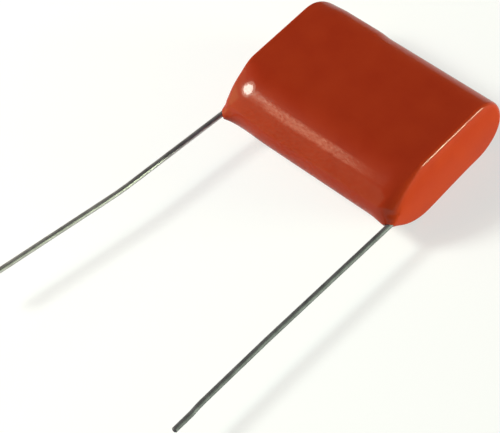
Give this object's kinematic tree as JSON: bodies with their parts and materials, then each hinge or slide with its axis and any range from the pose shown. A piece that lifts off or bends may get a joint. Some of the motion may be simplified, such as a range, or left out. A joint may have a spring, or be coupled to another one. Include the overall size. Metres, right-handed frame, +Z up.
{
  "type": "dipped film capacitor",
  "caption": "Flat oval film capacitor dipped in glossy orange-red epoxy, with stiff tinned wire leads leaving its long rounded side.",
  "frame": {"origin": "on the broad face that it lies on, midway between the leads and midway across the body", "axes": "+X from the left lead to the right one, the leads leave towards -Y, +Z up, away from the face it lies on"},
  "size_m": [0.0275, 0.0479, 0.0078],
  "materials": {
    "epoxy_coat": "glossy dipped epoxy, orange-red",
    "metallised_film": "clear film with a thin metal layer, silvery",
    "sprayed_zinc": "sprayed zinc, matt and grainy",
    "tinned_wire": "tinned drawn wire, a little dull"
  },
  "bodies": {
    "root": {"epoxy_coating": "epoxy_coat", "film_winding": "metallised_film", "left_end_spray": "sprayed_zinc", "right_end_spray": "sprayed_zinc", "left_lead": "tinned_wire", "right_lead": "tinned_wire"}
  },
  "joints": []
}
